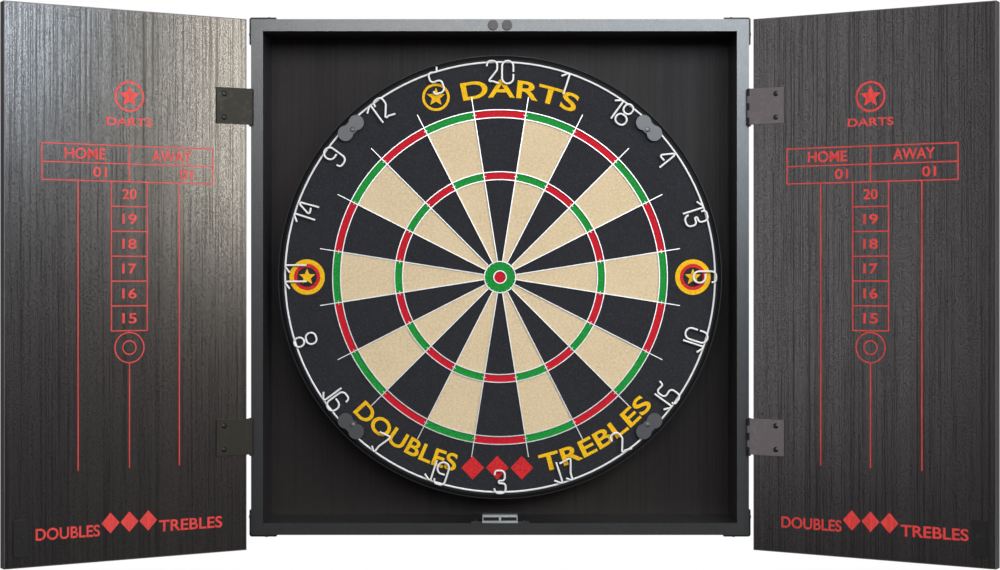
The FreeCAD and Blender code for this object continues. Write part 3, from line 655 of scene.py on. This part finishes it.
# in millimetres from the middle of the door's width, and from the case's middle height
scoreTable = {
    "line": 1.1, "halfWidth": 86, "top": 126.7, "row": 109.2, "bottom": 92.1,
    "columnHalf": 18, "cell": 24, "numbers": ("20", "19", "18", "17", "16", "15"),
    "digits": (14.5, 10), "titles": (("HOME", -44, 40.3), ("AWAY", 43.2, 41.3)),
    "titleHeight": 10.8, "starts": (-29.5, 58), "startDigits": (13.8, 9.8),
    "bull": -68.2, "bullRadii": (14.6, 6.6), "strokeFoot": -184.7, "sideLine": 51,
    "badge": (0, 174.5, 15, 13, 11, 4.95),  # right, up, ring's radii, star's tips and waist
    "badgeWord": ("DARTS", 0, 150, 46, 8),
    "footWords": (("DOUBLES", -60.8, 62.5), ("TREBLES", 63, 66)), "footHeight": 11.4,
    "shadedFoot": -242.8, "diamonds": (0, -236.5, 19, 9, 10),  # right, up, apart, half width, rise
}


def doorSurface(side):
    # maps a mark's right, up and lift, in millimetres, onto the open door's inner face
    joint = joints[f"{side}_door_swing"]
    sign = 1 if side == "right" else -1
    angle = math.radians(-joint["range_deg"][0])
    hinge = Vector(joint["pos_m"])
    along = Vector((-sign * math.cos(angle), -math.sin(angle), 0))
    outward = Vector((-sign * math.sin(angle), math.cos(angle), 0))
    panel = [vertex.co for vertex in nodes[f"{side}_door_panel"].data.vertices]
    face = max((point - hinge).dot(outward) for point in panel)
    reaches = [(point - hinge).dot(along) for point in panel]
    middle = (min(reaches) + max(reaches)) / 2
    right = along * sign
    return lambda u, v, lift: (Vector((hinge.x, hinge.y, 0)) + along * middle + right * u * mm
                               + outward * (face + lift * mm) + Vector((0, 0, v * mm)))


redInk = printInk("red_screen_ink", colour(230, 64, 60), colour(176, 46, 44))


def doorPrint(side):
    table, half = scoreTable, scoreTable["line"] / 2
    top, row, bottom = table["top"], table["row"], table["bottom"]
    wide, column = table["halfWidth"], table["columnHalf"]
    marks = Stencil()
    for level in (top, row, bottom):
        marks.bar(-wide - half, level - half, wide + half, level + half)
    for edge in (-wide, 0, wide):
        marks.bar(edge - half, bottom + half, edge + half, top - half)
    columnFoot = bottom - table["cell"] * len(table["numbers"])
    for edge in (-column, column):
        marks.bar(edge - half, columnFoot - half, edge + half, bottom - half)
    for index, number in enumerate(table["numbers"]):
        floor = bottom - table["cell"] * (index + 1)
        marks.bar(-column + half, floor - half, column - half, floor + half)
        marks.words(number, 0, floor + table["cell"] / 2, *table["digits"])
    for radius in table["bullRadii"]:
        marks.hoop(0, table["bull"], radius + half, radius - half)
    bullFoot = table["bull"] - table["bullRadii"][0]
    marks.bar(-half, table["strokeFoot"], half, bullFoot - half)
    for edge in (-table["sideLine"], table["sideLine"]):
        marks.bar(edge - half, table["strokeFoot"], edge + half, bottom - half)
    for text, u, width in table["titles"]:
        marks.words(text, u, (top + row) / 2, width, table["titleHeight"])
    for u in table["starts"]:
        marks.words("01", u, (row + bottom) / 2, *table["startDigits"])
    marks.badge(*table["badge"])
    marks.words(*table["badgeWord"])
    for text, u, width in table["footWords"]:
        marks.words(text, u, table["shadedFoot"], width, table["footHeight"])
    marks.diamonds(*table["diamonds"])
    marks.lay(f"{side}_door_print", doorSurface(side), f"{side}_door", redInk, "dark_laminate")


for side in ("left", "right"):
    doorPrint(side)
print("door prints made")


# degrees, radii and sizes in millimetres; feet is 1 with the letters' feet towards the centre
boardWords = {
    "board_word_over": {
        "text": "DARTS", "degrees": 6.2, "radius": 191.7, "size": (120, 18.4), "feet": 1},
    "board_word_under_left": {
        "text": "DOUBLES", "degrees": 210.3, "radius": 194, "size": (116.5, 18), "feet": -1},
    "board_word_under_right": {
        "text": "TREBLES", "degrees": 149, "radius": 194, "size": (128.7, 18), "feet": -1},
}
boardBadges = {
    "topAt": (194, -19.6), "top": (14, 11.4, 9.6, 4.32),  # ring's radii, star's tips and waist
    "sideAt": 196, "side": (18, 13.4, 8.5, 3.9), "sideRing": (13.4, 10),
    "diamonds": (-2.8, -193.7, 25, 11.5, 12),
}


def bentRound(degrees, radius, feet):
    # lettering that follows a circle on the board
    return lambda u, v, lift: boardPoint(
        (radius + feet * v) * mm, degrees + feet * math.degrees(u / radius), discFace - lift * mm)


def flatOnBoard(u, v, lift):
    return Vector((u * mm, discFace - lift * mm, v * mm))


boardYellow = dyedSisal("sisal_yellow_print", colour(232, 182, 18), colour(250, 214, 70),
                        colour(208, 156, 12))
boardRed = dyedSisal("sisal_red_print", colour(204, 40, 44), colour(226, 92, 90),
                     colour(170, 26, 32))

for name, word in boardWords.items():
    marks = Stencil()
    marks.words(word["text"], 0, 0, *word["size"])
    marks.lay(name, bentRound(word["degrees"], word["radius"], word["feet"]), "board",
              boardYellow, "sisal")

yellowMarks, redMarks = Stencil(), Stencil()
spot = boardPoint(*boardBadges["topAt"], 0)
yellowMarks.badge(spot.x, spot.z, *boardBadges["top"])
for u in (-boardBadges["sideAt"], boardBadges["sideAt"]):
    yellowMarks.badge(u, 0, *boardBadges["side"])
    redMarks.hoop(u, 0, *boardBadges["sideRing"])
redMarks.diamonds(*boardBadges["diamonds"])
yellowMarks.lay("board_badges_yellow", flatOnBoard, "board", boardYellow, "sisal")
redMarks.lay("board_badges_red", flatOnBoard, "board", boardRed, "sisal")
print("board prints made")


# floor and room

ground = {
    "level": -0.6, "radius": 1.75, "rim": 0.35, "segments": 128,
    "tone": colour(250, 250, 250), "drift": colour(243, 243, 243), "driftScale": (3, 3, 3),
    "rough": 0.7, "driftRough": 0.1, "specular": 0.2, "lift": 0.45,
}
roomLight = {"tone": (1, 1, 1, 1), "seen": 1.0, "cast": 0.07}


def paleFloor():
    # a round pale floor that thins out towards its rim
    shape = bmesh.new()
    bmesh.ops.create_circle(shape, cap_ends=True, radius=ground["radius"],
                            segments=ground["segments"])
    bmesh.ops.translate(shape, verts=shape.verts, vec=(0, 0, ground["level"]))
    finish = Finish("pale_floor")
    drift = finish.noise(ground["driftScale"], detail=2.0)
    thinned = finish.ramp(finish.reach((1, 1, 0)), ground["radius"] - ground["rim"],
                          ground["radius"])
    paint = finish.surface({
        "Base Color": finish.mixed(drift, ground["tone"], ground["drift"]),
        "Roughness": ground["rough"] + ground["driftRough"] * drift,
        "Specular IOR Level": ground["specular"], "Alpha": 1 - thinned,
        "Emission Color": ground["tone"], "Emission Strength": ground["lift"]})
    piece = linked("pale_floor", shape, paint)
    piece.visible_diffuse = False
    piece.visible_glossy = False


def paleRoom():
    # white to the camera, and only a little light on the cabinet
    room = Finish("paleRoom", "worlds")
    cast, seen = [room.node("ShaderNodeBackground", None,
                            {"Color": roomLight["tone"], "Strength": roomLight[use]})
                  for use in ("cast", "seen")]
    sky = room.node("ShaderNodeMixShader", None,
                    {0: room.node("ShaderNodeLightPath"), 1: cast, 2: seen})
    room.node("ShaderNodeOutputWorld", None, {"Surface": sky})
    scene.world = room.block


paleFloor()
paleRoom()
print("floor and room made")
